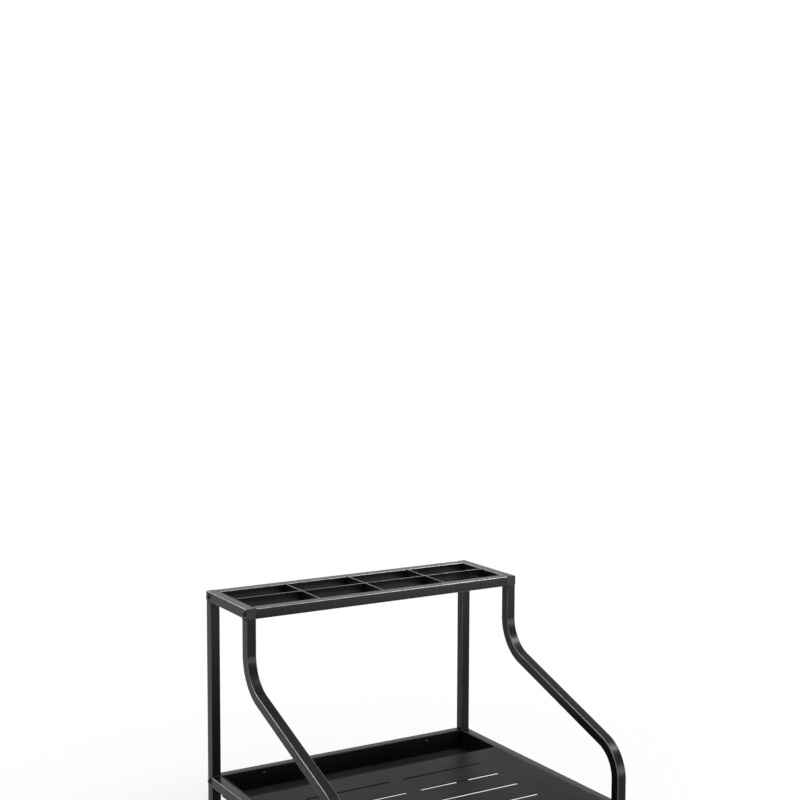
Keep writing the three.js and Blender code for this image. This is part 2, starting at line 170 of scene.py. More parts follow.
class TubeSettings(bpy.types.PropertyGroup):
    corner: FloatProperty(
        name="Corner radius", description="Outer radius of the square tube's long edges",
        default=2.5 * MM, unit="LENGTH",
    )
    wall: FloatProperty(
        name="Wall", description="Wall of the square tube", default=1.5 * MM, unit="LENGTH",
    )
    rim: FloatProperty(
        name="Rim", description="Small rounding of cut ends and sheet edges",
        default=0.3 * MM, unit="LENGTH",
    )
    straight: FloatProperty(
        name="Straight top", description="Length of the front tube from the ring down to its first bend",
        default=65 * MM, unit="LENGTH",
    )
    slope: FloatProperty(
        name="Slope", description="Fall of the front tube's sloping stretch below the horizon",
        default=math.radians(20), subtype="ANGLE",
    )
    upper_bend: FloatProperty(
        name="Upper bend", description="Centre line radius of the front tube's upper bend",
        default=80 * MM, unit="LENGTH",
    )
    lower_bend: FloatProperty(
        name="Lower bend", description="Centre line radius of the front tube's lower bend",
        default=68 * MM, unit="LENGTH",
    )


class SheetSettings(bpy.types.PropertyGroup):
    thickness: FloatProperty(
        name="Sheet", description="Thickness of the deck's and the tray's sheet",
        default=1.5 * MM, unit="LENGTH",
    )
    fold: FloatProperty(
        name="Fold radius", description="Outer radius of the folds", default=2.2 * MM, unit="LENGTH",
    )
    slot_rows: IntProperty(
        name="Slot rows", description="Rows of drain slots in the deck", default=5,
    )
    slot_width: FloatProperty(
        name="Slot width", description="Width of a drain slot", default=6 * MM, unit="LENGTH",
    )
    slot_bridge: FloatProperty(
        name="Slot bridge", description="Sheet left between the two slots of a row",
        default=30 * MM, unit="LENGTH",
    )
    slot_side_margin: FloatProperty(
        name="Side margin", description="From the side rail to the nearest slot",
        default=85 * MM, unit="LENGTH",
    )
    slot_end_margin: FloatProperty(
        name="End margin", description="From the deck's front or the middle rail to the nearest row",
        default=45 * MM, unit="LENGTH",
    )
    rib_pitch: FloatProperty(
        name="Rib pitch", description="Distance between the ribs of the tray's mat",
        default=5 * MM, unit="LENGTH",
    )
    rib_depth: FloatProperty(
        name="Rib depth", description="Depth of the grooves between the mat's ribs",
        default=0.8 * MM, unit="LENGTH",
    )


class FinishSettings(bpy.types.PropertyGroup):
    coat: FloatVectorProperty(
        name="Powder coat", description="Colour of the powder coat", subtype="COLOR",
        default=(0.0042, 0.0044, 0.0047), min=0, max=1,
    )
    # Light grey for the edges: partly coat worn through to steel, partly a painted highlight.
    edge: FloatVectorProperty(
        name="Worn edge and painted highlight", description="Colour of the edges, partly worn through to steel and partly a painted highlight",
        subtype="COLOR", default=(0.2, 0.204, 0.208), min=0, max=1,
    )
    coat_roughness: FloatProperty(
        name="Coat roughness", description="Roughness of the powder coat", default=0.26, min=0, max=1,
        subtype="FACTOR",
    )
    plastic: FloatVectorProperty(
        name="Plastic", description="Colour of the plugs and leg inserts", subtype="COLOR",
        default=(0.008, 0.008, 0.0085), min=0, max=1,
    )
    # Black rubber, darker than the coat: darkened further as painted shade for the tray's mat at the bottom
    # of the tray; the foot pads share it.
    rubber: FloatVectorProperty(
        name="Rubber", description="Colour of the mat and the foot pads", subtype="COLOR",
        default=(0.0035, 0.0035, 0.0035), min=0, max=1,
    )
    oxide: FloatVectorProperty(
        name="Black oxide", description="Colour of the bolts and screws", subtype="COLOR",
        default=(0.03, 0.03, 0.032), min=0, max=1,
    )
    zinc: FloatVectorProperty(
        name="Zinc", description="Colour of the plated studs", subtype="COLOR",
        default=(0.55, 0.56, 0.57), min=0, max=1,
    )


class StageSettings(bpy.types.PropertyGroup):
    floor: FloatVectorProperty(
        name="Floor", description="Colour of the floor", subtype="COLOR",
        default=(0.9, 0.9, 0.9), min=0, max=1,
    )
    lens: FloatProperty(
        name="Lens", description="Focal length of the camera on a sensor 36 mm wide",
        default=63.0, unit="CAMERA",
    )
    place: FloatVectorProperty(
        name="Camera place", description="Place of the camera", subtype="TRANSLATION",
        default=(-1.3492, -2.2073, 1.0934),
    )
    yaw: FloatProperty(
        name="Yaw", description="Turn of the view from +Y towards +X", default=math.radians(30.93),
        subtype="ANGLE",
    )
    pitch: FloatProperty(
        name="Pitch", description="Fall of the view below the horizon", default=math.radians(4.78),
        subtype="ANGLE",
    )
    roll: FloatProperty(
        name="Roll", description="Turn of the camera about its view", default=math.radians(0.18),
        subtype="ANGLE",
    )
    strength: FloatProperty(
        name="Light", description="Strength of the lamps", default=1.0, min=0,
    )


# Selecting and shaping

def select_only(*pieces):
    bpy.ops.object.select_all(action="DESELECT")
    for piece in pieces:
        piece.select_set(True)
    bpy.context.view_layer.objects.active = pieces[0]


def named(piece, name):
    piece.name = name
    piece.data.name = name
    return piece


def placed(name):
    """Names the primitive that was just added, and puts its place, turn and size in its mesh."""
    bpy.ops.object.transform_apply(location=True, rotation=True, scale=True)
    return named(bpy.context.object, name)


def add_box(name, low, high):
    bpy.ops.mesh.primitive_cube_add(size=1, location=(low + high) / 2, scale=high - low)
    return placed(name)


def add_cylinder(name, radius, low, high, sides):
    """A cylinder primitive along Z between two points on its axis."""
    bpy.ops.mesh.primitive_cylinder_add(
        vertices=sides, radius=radius, depth=high.z - low.z, location=(low + high) / 2,
    )
    return placed(name)


def edit(piece, kind, test):
    """Opens edit mode with only the faces, edges or vertices that pass the test selected."""
    select_only(piece)
    bpy.ops.object.mode_set(mode="EDIT")
    pick(piece, kind, test)


def pick(piece, kind, test):
    """In edit mode, selects only the faces, edges or vertices that pass the test."""
    bpy.ops.mesh.select_mode(type=kind)
    bpy.ops.mesh.select_all(action="DESELECT")
    mesh = bmesh.from_edit_mesh(piece.data)
    found = {"FACE": mesh.faces, "EDGE": mesh.edges, "VERT": mesh.verts}[kind]
    for element in found:
        if test(element):
            element.select_set(True)
    mesh.select_flush_mode()
    bmesh.update_edit_mesh(piece.data)


def anything(element):
    """A test that every element passes."""
    return True


def done(piece):
    bpy.ops.object.mode_set(mode="OBJECT")
    return piece


def push(vector):
    """Extrudes what is selected in edit mode."""
    bpy.ops.mesh.extrude_region_move(TRANSFORM_OT_translate={"value": vector})


def faces(direction):
    """A test for faces that look in a direction."""
    return lambda face: face.normal.dot(direction) > ALONG


def edges_along(direction):
    """A test for edges that run in a direction, either way."""
    def test(edge):
        run = edge.verts[1].co - edge.verts[0].co
        return abs(run.normalized().dot(direction)) > ALONG
    return test


def round_edges(piece, test, radius, steps=CORNER_STEPS):
    edit(piece, "EDGE", test)
    bpy.ops.mesh.bevel(offset=radius, offset_type="OFFSET", segments=steps, affect="EDGES", profile=0.5)
    return done(piece)


def apply_modifier(piece, kind, **settings):
    select_only(piece)
    modifier = piece.modifiers.new(kind.title(), kind)
    for key, value in settings.items():
        setattr(modifier, key, value)
    bpy.ops.object.modifier_apply(modifier=modifier.name)
    return piece


def soften(piece, width, angle=40, steps=2):
    """A small rounding of every edge that is sharper than an angle in degrees."""
    return apply_modifier(
        piece, "BEVEL", width=width, segments=steps, limit_method="ANGLE", angle_limit=math.radians(angle),
        use_clamp_overlap=True, harden_normals=False,
    )


def thicken(piece, thickness):
    """Gives an open sheet its thickness, on its inner side."""
    return apply_modifier(piece, "SOLIDIFY", thickness=thickness, offset=-1, use_even_offset=True)


def cut(piece, cutter):
    """Cuts the cutter's shape out of the piece, and removes the cutter."""
    apply_modifier(piece, "BOOLEAN", operation="DIFFERENCE", solver="EXACT", object=cutter)
    bpy.data.objects.remove(cutter)


def copy_at(piece, name, matrix):
    """A copy with its own mesh, whose place is in the mesh."""
    copy = piece.copy()
    copy.data = piece.data.copy()
    bpy.context.scene.collection.objects.link(copy)
    copy.data.transform(matrix)
    return named(copy, name)


def recalculate(piece, up=None):
    """Merges doubles and turns the faces outward: on an open sheet, those along up look that way."""
    edit(piece, "VERT", anything)
    bpy.ops.mesh.remove_doubles(threshold=SAME_PLACE / 10)
    bpy.ops.mesh.normals_make_consistent(inside=False)
    if up is not None and not any(faces(up)(face) for face in bmesh.from_edit_mesh(piece.data).faces):
        bpy.ops.mesh.flip_normals()
    return done(piece)


def dress(piece, finish, slot, *nodes, body="frame"):
    """Gives a finished piece smooth shading and its finish, hides the nodes that it stands for and puts it
    on the body that it rides on. The slot is not used."""
    select_only(piece)
    bpy.ops.object.shade_smooth_by_angle(angle=SMOOTH_ANGLE)
    apply_modifier(piece, "WEIGHTED_NORMAL", keep_sharp=True)
    piece.data.materials.clear()
    piece.data.materials.append(bpy.data.materials[finish])
    if nodes:
        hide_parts(*nodes)
    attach(piece, body)


# Finishes

def new_group(name, values, outputs):
    """A node group that takes a vector and values with defaults, and puts out values."""
    group = bpy.data.node_groups.new(name, "ShaderNodeTree")
    group.interface.new_socket(name="Vector", in_out="INPUT", socket_type="NodeSocketVector")
    for label, value in values.items():
        socket = group.interface.new_socket(name=label, in_out="INPUT", socket_type="NodeSocketFloat")
        socket.default_value = value
    for label in outputs:
        group.interface.new_socket(name=label, in_out="OUTPUT", socket_type="NodeSocketFloat")
    return group, group.nodes.new("NodeGroupInput").outputs, group.nodes.new("NodeGroupOutput").inputs


def feed(tree, socket, value):
    """Links a socket to another node's output, or sets the socket's own value."""
    if isinstance(value, bpy.types.NodeSocket):
        tree.links.new(value, socket)
    else:
        socket.default_value = value


def math_node(tree, operation, first, second=0.0, clamp=False):
    node = tree.nodes.new("ShaderNodeMath")
    node.operation = operation
    node.use_clamp = clamp
    feed(tree, node.inputs[0], first)
    feed(tree, node.inputs[1], second)
    return node.outputs[0]


def noise_node(tree, vector, scale, detail, roughness=0.5):
    node = tree.nodes.new("ShaderNodeTexNoise")
    for key, value in (("Vector", vector), ("Scale", scale), ("Detail", detail), ("Roughness", roughness)):
        feed(tree, node.inputs[key], value)
    return node.outputs["Fac"]


def remap(tree, value, span, target):
    """Spreads the values in a span over a target span, and stops at its ends."""
    node = tree.nodes.new("ShaderNodeMapRange")
    for key, number in zip(("Value", "From Min", "From Max", "To Min", "To Max"), (value, *span, *target)):
        feed(tree, node.inputs[key], number)
    return node.outputs["Result"]


def mix_colour(tree, factor, first, second):
    node = tree.nodes.new("ShaderNodeMix")
    node.data_type = "RGBA"
    tree.links.new(factor, node.inputs["Factor"])
    for key, value in (("A", first), ("B", second)):
        socket = [s for s in node.inputs if s.name == key and s.type == "RGBA"][0]
        feed(tree, socket, value if isinstance(value, bpy.types.NodeSocket) else (*value, 1))
    return [s for s in node.outputs if s.type == "RGBA"][0]


def split_vector(tree, vector):
    node = tree.nodes.new("ShaderNodeSeparateXYZ")
    tree.links.new(vector, node.inputs["Vector"])
    return node.outputs


def split_normal(tree):
    return split_vector(tree, tree.nodes.new("ShaderNodeNewGeometry").outputs["Normal"])


def grain_group():
    """Fine grain: a height for bump, and a mask of small specks."""
    group, inside, outside = new_group("Fine grain", {"Scale": 900.0}, ["Height", "Specks"])
    vector = inside["Vector"]
    scale = inside["Scale"]
    peel_scale = math_node(group, "MULTIPLY", scale, 0.3)
    speck_scale = math_node(group, "MULTIPLY", scale, 1.7)
    fine = noise_node(group, vector, scale, detail=3.0, roughness=0.6)
    peel = math_node(group, "MULTIPLY", noise_node(group, vector, peel_scale, detail=1.0), 0.8)
    specks = remap(group, noise_node(group, vector, speck_scale, detail=2.0), (0.56, 0.72), (0.0, 1.0))
    group.links.new(math_node(group, "ADD", fine, peel), outside["Height"])
    group.links.new(specks, outside["Specks"])
    return group


def dust_group():
    """Dust: a soft mask, stronger on faces that look up, broken by patches."""
    group, inside, outside = new_group("Dust", {"Amount": 0.1}, ["Mask"])
    upward = remap(group, split_normal(group)["Z"], (0.2, 1.0), (0.1, 1.0))
    noise = noise_node(group, inside["Vector"], scale=14.0, detail=5.0, roughness=0.6)
    patches = remap(group, noise, (0.35, 0.75), (0.2, 1.0))
    mask = math_node(group, "MULTIPLY", upward, patches)
    group.links.new(math_node(group, "MULTIPLY", mask, inside["Amount"], clamp=True), outside["Mask"])
    return group


def cloud_group():
    """Slow variation over the surface, from 0 to 1."""
    group, inside, outside = new_group("Slow variation", {"Scale": 6.0}, ["Value"])
    noise = noise_node(group, inside["Vector"], inside["Scale"], detail=4.0)
    group.links.new(remap(group, noise, (0.3, 0.7), (0.0, 1.0)), outside["Value"])
    return group


def edge_group():
    """Edge wear and painted highlight: a mask that is highest halfway round an edge, and 0 on flat faces.
    Edges that look up keep all of it and edges that look sideways about half, as a painted highlight from
    the light above; noise breaks it into patches. On a bent tube, whose faces turn through every angle in
    the side view, only the edges of its section count. Inner is the share of the mask that is left on edges
    inside the rack's outer side faces, which lie at Half width from the middle, so that those edges carry
    less painted highlight."""
    values = {"Bent": 0.0, "Inner": 1.0, "Half width": CAD_HIGH[0]}
    group, inside, outside = new_group("Edge wear and painted highlight", values, ["Mask"])
    normal = split_normal(group)
    x, y, z = (math_node(group, "MULTIPLY", normal[key], normal[key]) for key in "XYZ")
    section = math_node(group, "MULTIPLY", x, math_node(group, "ADD", y, z))
    straight = math_node(group, "SUBTRACT", 1.0, inside["Bent"])
    across = math_node(group, "MULTIPLY", math_node(group, "MULTIPLY", y, z), straight)
    mask = remap(group, math_node(group, "ADD", section, across), (0.08, 0.2), (0.0, 1.0))
    # Painted highlight from the light above: edges that look up keep the whole mask, edges that look
    # sideways or down about half.
    lit_from_above = remap(group, normal["Z"], (0.0, 0.5), (0.55, 1.0))
    noise = noise_node(group, inside["Vector"], scale=45.0, detail=3.0)
    in_patches = remap(group, noise, (0.3, 0.6), (0.7, 1.0))
    side = math_node(group, "ABSOLUTE", split_vector(group, inside["Vector"])["X"])
    reach = math_node(group, "DIVIDE", side, inside["Half width"])
    # Edges inside the outer side faces keep only the Inner share, so less painted highlight falls on them.
    on_outer_sides = remap(group, reach, (0.96, 0.98), (inside["Inner"], 1.0))
    for share in (lit_from_above, in_patches, on_outer_sides):
        mask = math_node(group, "MULTIPLY", mask, share, clamp=True)
    group.links.new(mask, outside["Mask"])
    return group


def place_group(tree, group, vector, **values):
    """Places a node group with values of its own, and gives its outputs."""
    node = tree.nodes.new("ShaderNodeGroup")
    node.node_tree = group
    tree.links.new(vector, node.inputs["Vector"])
    for key, value in values.items():
        node.inputs[key].default_value = value
    return node.outputs


def start_material(name, metallic, specular):
    material = bpy.data.materials.new(name)
    material.use_nodes = True
    tree = material.node_tree
    shader = tree.nodes["Principled BSDF"].inputs
    shader["Metallic"].default_value = metallic
    shader["Specular IOR Level"].default_value = specular
    return tree, shader, tree.nodes.new("ShaderNodeTexCoord").outputs["Object"]


def bump(tree, shader, height, strength, distance):
    node = tree.nodes.new("ShaderNodeBump")
    node.inputs["Strength"].default_value = strength
    node.inputs["Distance"].default_value = distance
    tree.links.new(height, node.inputs["Height"])
    tree.links.new(node.outputs["Normal"], shader["Normal"])


def lighter(colour, factor):
    return tuple(min(1.0, channel * factor) for channel in colour)


def cloudy(tree, groups, vector, colour, scale, low, high):
    """Slow variation, and a colour that varies with it between two shares of itself."""
    value = place_group(tree, groups["cloud"], vector, Scale=scale)["Value"]
    return value, mix_colour(tree, value, lighter(colour, low), lighter(colour, high))


def coat_material(name, settings, groups, edge_wear_and_highlight, dust, specular, roughness):
    """Black satin powder coat with a fine grain, slightly cloudy, with a trace of dust on top. Where edge
    values are given, its edges are partly rubbed through to dull bare steel and partly a painted highlight:
    lightened and made metallic, they mirror the white surroundings and the lamps as bright lines."""
    tree, shader, vector = start_material(name, metallic=0.0, specular=specular)
    grain = place_group(tree, groups["grain"], vector, Scale=1100.0)
    film = place_group(tree, groups["dust"], vector, Amount=dust)["Mask"]
    cloud, colour = cloudy(tree, groups, vector, settings.coat, scale=7.0, low=0.85, high=1.15)
    colour = mix_colour(tree, grain["Specks"], colour, lighter(settings.coat, 2.2))
    rough = remap(tree, cloud, (0.0, 1.0), (roughness - COAT_SPREAD, roughness + COAT_SPREAD))
    # Painted highlight: the edge mask lightens the edges and makes them metallic, so that they mirror the
    # white surroundings and the lamps as bright lines; it also stands for coat worn through to steel.
    if edge_wear_and_highlight:
        mask = place_group(tree, groups["edge"], vector, **edge_wear_and_highlight)["Mask"]
        colour = mix_colour(tree, mask, colour, settings.edge)
        rough = math_node(tree, "ADD", rough, math_node(tree, "MULTIPLY", mask, EDGE_DULLNESS))
        tree.links.new(mask, shader["Metallic"])
    tree.links.new(mix_colour(tree, film, colour, COAT_DUST), shader["Base Color"])
    tree.links.new(math_node(tree, "ADD", rough, film), shader["Roughness"])
    bump(tree, shader, grain["Height"], strength=0.18, distance=0.12 * MM)


def plastic_material(settings, groups):
    """Moulded black plastic with a fine spark-eroded grain."""
    tree, shader, vector = start_material("Moulded plastic", metallic=0.0, specular=0.25)
    grain = place_group(tree, groups["grain"], vector, Scale=1600.0)
    cloud, colour = cloudy(tree, groups, vector, settings.plastic, scale=40.0, low=0.8, high=1.2)
    tree.links.new(colour, shader["Base Color"])
    tree.links.new(remap(tree, cloud, (0.0, 1.0), (0.46, 0.56)), shader["Roughness"])
    bump(tree, shader, grain["Height"], strength=0.4, distance=0.08 * MM)


def rubber_material(settings, groups):
    """Matt black rubber, a little dusty."""
    tree, shader, vector = start_material("Black rubber", metallic=0.0, specular=0.15)
    grain = place_group(tree, groups["grain"], vector, Scale=1300.0)
    film = place_group(tree, groups["dust"], vector, Amount=0.02)["Mask"]
    cloud, colour = cloudy(tree, groups, vector, settings.rubber, scale=12.0, low=0.8, high=1.25)
    tree.links.new(mix_colour(tree, film, colour, RUBBER_DUST), shader["Base Color"])
    tree.links.new(remap(tree, cloud, (0.0, 1.0), (0.68, 0.82)), shader["Roughness"])
    bump(tree, shader, grain["Height"], strength=0.5, distance=0.1 * MM)


def steel_material(name, colour, groups, roughness, scale):
    """Steel with a thin finish: black oxide or zinc."""
    tree, shader, vector = start_material(name, metallic=1.0, specular=0.5)
    grain = place_group(tree, groups["grain"], vector, Scale=scale)
    cloud, tinted = cloudy(tree, groups, vector, colour, scale=60.0, low=0.8, high=1.25)
    tree.links.new(mix_colour(tree, grain["Specks"], tinted, lighter(colour, 1.6)), shader["Base Color"])
    rough = remap(tree, cloud, (0.0, 1.0), (roughness - 0.05, roughness + 0.07))
    tree.links.new(rough, shader["Roughness"])
    bump(tree, shader, grain["Height"], strength=0.25, distance=0.05 * MM)


def make_finishes():
    settings = bpy.context.scene.rack_finish
    groups = {"grain": grain_group(), "dust": dust_group(), "cloud": cloud_group(), "edge": edge_group()}
    rough = settings.coat_roughness
    # Edge mask values for each coat, which give the rubbed edges with their painted highlight: full on
    # tubes, a small share on inner edges beside sheet, none on welds.
    tube_edges = {
        "on bent tube": {"Bent": 1.0}, "on tube": {"Bent": 0.0}, "beside sheet": INNER_EDGES_DIMMED, "on welds": None,
    }
    for place, edge_wear_and_highlight in tube_edges.items():
        name = "Powder coat " + place
        coat_material(name, settings, groups, edge_wear_and_highlight, dust=0.004, specular=0.125, roughness=rough)
    name = "Powder coat on sheet"
    coat_material(name, settings, groups, INNER_EDGES_DIMMED, dust=0.006, specular=0.05, roughness=rough + 0.15)
    plastic_material(settings, groups)
    rubber_material(settings, groups)
    steel_material("Black oxide", settings.oxide, groups, roughness=0.36, scale=2200.0)
    steel_material("Zinc plate", settings.zinc, groups, roughness=0.28, scale=1500.0)


# Tubes

def step_face(piece, direction, margin, distance):
    """Moves the middle of the face that looks in a direction out, or in where the distance is negative."""
    edit(piece, "FACE", faces(direction))
    bpy.ops.mesh.inset(thickness=margin, use_even_offset=True)
    push(direction * distance)
    return done(piece)


def straight_tube(node, axis, open_ends):
    """A square tube in a node's box: rounded along its edges, with the bore cut into its open ends."""
    settings = bpy.context.scene.rack_tube
    piece = add_box(node + "_tube", *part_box(node))
    round_edges(piece, edges_along(axis), settings.corner)
    if open_ends:
        for direction in (axis, -axis):
            step_face(piece, direction, settings.wall, -BORE_DEPTH)
    soften(piece, settings.rim, angle=60)
    finish = "Powder coat beside sheet" if node.startswith("lower") else "Powder coat on tube"
    dress(piece, finish, TUBE_SLOT, node)


def bent_tube(node):
    """The front tube: its section is drawn down, spun round the upper bend, drawn along the slope,
    spun round the lower bend and drawn down to the leg's end."""
    settings = bpy.context.scene.rack_tube
    low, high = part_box(node)
    ring_low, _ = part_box("top_front_rail")
    size = high.x - low.x
    top = Vector(((low.x + high.x) / 2, high.y - size / 2, high.z))
    turn = math.pi / 2 - settings.slope

    bpy.ops.mesh.primitive_plane_add(size=size, location=top)
    piece = placed(node + "_bent")
    edit(piece, "VERT", anything)
    bpy.ops.mesh.bevel(
        offset=settings.corner, offset_type="OFFSET", segments=CORNER_STEPS, affect="VERTICES", profile=0.5,
    )
    bpy.ops.mesh.select_all(action="SELECT")
    bpy.ops.mesh.delete(type="ONLY_FACE")
    bpy.ops.mesh.select_all(action="SELECT")

    bend_z = ring_low.z - settings.straight
    push(Z_AXIS * (bend_z - high.z))
    centre = Vector((top.x, top.y - settings.upper_bend, bend_z))
    spin_section(centre, -turn)
    end = centre + settings.upper_bend * Vector((0, math.cos(turn), -math.sin(turn)))

    leg_y = low.y + size / 2
    run = end.y - leg_y - settings.lower_bend * (1 - math.sin(settings.slope))
    fall = run * math.tan(settings.slope)
    push(Vector((0, -run, -fall)))
    drop = settings.lower_bend * math.cos(settings.slope)
    centre = Vector((top.x, leg_y + settings.lower_bend, end.z - fall - drop))
    spin_section(centre, turn)
    push(Z_AXIS * (low.z - centre.z))

    bpy.ops.mesh.edge_face_add()
    pick(piece, "EDGE", lambda edge: edge.is_boundary)
    bpy.ops.mesh.edge_face_add()
    done(piece)
    recalculate(piece)
    for direction in (Z_AXIS, -Z_AXIS):
        step_face(piece, direction, settings.wall, -BORE_DEPTH)
    soften(piece, settings.rim, angle=60)
    dress(piece, "Powder coat on bent tube", TUBE_SLOT, node)


def spin_section(centre, angle):
    """Spins the selected open section about a centre, in the side view."""
    bpy.ops.mesh.spin(steps=BEND_STEPS, angle=-angle, center=centre, axis=X_AXIS)


# Welds

def weld_bead(name, length, radius, pitch):
    """A weld bead along X: overlapping ripples, each a stretched drop."""
    bpy.ops.mesh.primitive_uv_sphere_add(
        segments=12, ring_count=8, radius=radius, location=((pitch - length) / 2, 0, 0),
        scale=(RIPPLE_STRETCH, 1, 1),
    )
    return apply_modifier(
        placed(name), "ARRAY", count=int(length / pitch), use_relative_offset=False,
        use_constant_offset=True, constant_offset_displace=(pitch, 0, 0),
    )


def place_weld(model, name, place, turn=Matrix()):
    bead = copy_at(model, name, Matrix.Translation(place) @ turn)
    dress(bead, "Powder coat on welds", TUBE_SLOT)


def side_frame_welds():
    """Beads in the inner corners where the side frames' tubes meet."""
    low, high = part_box("rear_post_left")
    size = high.x - low.x
    model = weld_bead("frame_bead", BEAD_LENGTH_SHARE * size, BEAD_RADIUS, BEAD_PITCH)
    for word, _ in SIDES:
        top_low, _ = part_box("top_side_rail_" + word)
        rail_low, rail_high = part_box("lower_side_rail_" + word)
        post_low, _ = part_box("rear_post_" + word)
        tube_low, tube_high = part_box("front_tube_" + word)
        corners = {
            "rear_top": (post_low.y, top_low.z),
            "front_top": (tube_high.y, top_low.z),
            "rear_rail_top": (post_low.y, rail_high.z),
            "rear_rail_bottom": (post_low.y, rail_low.z),
            "front_rail_top": (tube_low.y + size, rail_high.z),
            "front_rail_bottom": (tube_low.y + size, rail_low.z),
        }
        for corner, (y, z) in corners.items():
            place_weld(model, "weld_" + corner + "_" + word, Vector((post_low.x + size / 2, y, z)))
    bpy.data.objects.remove(model)


def bay_bar_welds():
    """Short upright tacks low on both sides of each bar's ends."""
    model = weld_bead("tack", TACK_LENGTH, TACK_RADIUS, TACK_PITCH)
    upright = Matrix.Rotation(math.pi / 2, 4, "Y")
    for node in BAY_BARS:
        low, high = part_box(node)
        z = low.z + TACK_HEIGHT_SHARE * (high.z - low.z)
        ends = [(x, y) for x in (low.x, high.x) for y in (low.y, high.y)]
        for i, (x, y) in enumerate(ends, 1):
            place_weld(model, "tack_" + node + "_" + str(i), Vector((x, y, z)), upright)
    bpy.data.objects.remove(model)


# Flat bars, sheet and mat

def bay_bar(node, axis, slots, slot_side):
    """A flat bar with a slot half its height deep for each bar that it crosses."""
    low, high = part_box(node)
    piece = add_box(node + "_bar", low, high)
    thickness = min(high.x - low.x, high.y - low.y)
    middle = (low + high) / 2
    across = Vector([abs(part) for part in axis.cross(Z_AXIS)])
    reach = axis * (thickness / 2 + BAR_SLOT_PLAY) + across * thickness
    for place in slots:
        bottom = middle + axis * place - reach
        top = middle + axis * place + reach
        if slot_side > 0:
            top.z = high.z + thickness
        else:
            bottom.z = low.z - thickness
        cut(piece, add_box("slot_cutter", bottom, top))
    soften(piece, BAR_ROUNDING, steps=3)
    dress(piece, "Powder coat on tube", TUBE_SLOT, node)


def front_deck():
    """The deck: a sheet folded down along its sides and its front, with rows of drain slots."""
    settings = bpy.context.scene.rack_sheet
    low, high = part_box("front_deck")
    rail_low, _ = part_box("lower_middle_rail")
    flange_end = rail_low.y - GAP

    centre = (low + high) / 2
    centre.z = high.z
    bpy.ops.mesh.primitive_plane_add(size=1, location=centre)
    bpy.context.object.scale = (high.x - low.x, high.y - low.y, 1)
    piece = placed("front_deck_sheet")
    edit(piece, "FACE", anything)
    bpy.ops.mesh.bisect(plane_co=(0, flange_end, high.z), plane_no=Y_AXIS)

    def folded(edge):
        middle = (edge.verts[0].co + edge.verts[1].co) / 2
        if middle.y > flange_end:
            return False
        return middle.y < low.y + SAME_PLACE or abs(middle.x) > high.x - SAME_PLACE

    pick(piece, "EDGE", folded)
    push(Z_AXIS * (low.z - high.z))
    done(piece)
    recalculate(piece, Z_AXIS)

    def fold_line(edge):
        if len(edge.link_faces) != 2:
            return False
        return edge.link_faces[0].normal.dot(edge.link_faces[1].normal) < 0.5

    round_edges(piece, fold_line, settings.fold)
    thicken(piece, settings.thickness)
    for cutter in slot_cutters(low, high, flange_end):
        cut(piece, cutter)
    soften(piece, bpy.context.scene.rack_tube.rim, angle=50)
    dress(piece, "Powder coat on sheet", SHEET_SLOT, "front_deck")


def slot_cutters(low, high, flange_end):
    """Round-ended cutters, two in each row, spaced over the deck."""
    settings = bpy.context.scene.rack_sheet
    span = 2 * (high.x + GAP - settings.slot_side_margin)
    length = (span - settings.slot_bridge) / 2
    first = low.y + settings.slot_end_margin
    last = flange_end - settings.slot_end_margin
    radius = settings.slot_width / 2
    reach = Vector((length / 2, radius, 4 * settings.thickness))
    cutters = []
    for row in range(settings.slot_rows):
        y = first + (last - first) * row / (settings.slot_rows - 1)
        for _, side in SIDES:
            middle = Vector((side * (settings.slot_bridge + length) / 2, y, high.z))
            cutter = add_box("slot_cutter", middle - reach, middle + reach)
            cutters.append(round_edges(cutter, edges_along(Z_AXIS), SLOT_END_ROUNDING * radius, steps=10))
    return cutters


def tray():
    """The tray: an open box of sheet with rounded folds."""
    settings = bpy.context.scene.rack_sheet
    nodes = ("tray_floor", "tray_wall_front", "tray_wall_rear", "tray_end_left", "tray_end_right")
    lows, highs = zip(*(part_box(node) for node in nodes))
    low = Vector([min(places) for places in zip(*lows)])
    high = Vector([max(places) for places in zip(*highs)])
    piece = add_box("tray_sheet", low, high)
    edit(piece, "FACE", faces(Z_AXIS))
    bpy.ops.mesh.delete(type="FACE")
    done(piece)
    round_edges(piece, lambda edge: len(edge.link_faces) == 2, settings.fold)
    thicken(piece, settings.thickness)
    soften(piece, bpy.context.scene.rack_tube.rim, angle=50)
    dress(piece, "Powder coat on sheet", SHEET_SLOT, *nodes)


def tray_mat():
    """The mat on the tray's floor, with ribs along it. Its near-black rubber also stands for the shade at
    the bottom of the tray: painted shade.
    """
    settings = bpy.context.scene.rack_sheet
    low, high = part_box("tray_mat")
    piece = add_box("tray_mat_rubber", low, high)
    width = high.y - low.y
    count = int(width / settings.rib_pitch)
    pitch = width / count
    edit(piece, "FACE", anything)
    for i in range(1, count):
        bpy.ops.mesh.select_all(action="SELECT")
        bpy.ops.mesh.bisect(plane_co=(0, low.y + i * pitch, 0), plane_no=Y_AXIS)
    pick(piece, "FACE", faces(Z_AXIS))
    bpy.ops.mesh.inset(thickness=pitch / 5, use_individual=True)
    half_rib = pitch / 2 * (high.x - low.x)
    pick(piece, "FACE", lambda face: face.normal.z > ALONG and face.calc_area() > half_rib)
    push_down_others(piece, high, settings.rib_depth)
    done(piece)
    soften(piece, settings.rib_depth / 3)
    dress(piece, "Black rubber", MAT_SLOT, "tray_mat")


def push_down_others(piece, high, depth):
    """Lowers the grooves' corners, which lie outside the selected rib tops."""
    tops = {vertex.index for vertex in bmesh.from_edit_mesh(piece.data).verts if vertex.select}

    def groove(vertex):
        return vertex.index not in tops and abs(vertex.co.z - high.z) < SAME_PLACE

    pick(piece, "VERT", groove)
    bpy.ops.transform.translate(value=(0, 0, -depth))


# Plugs and fasteners

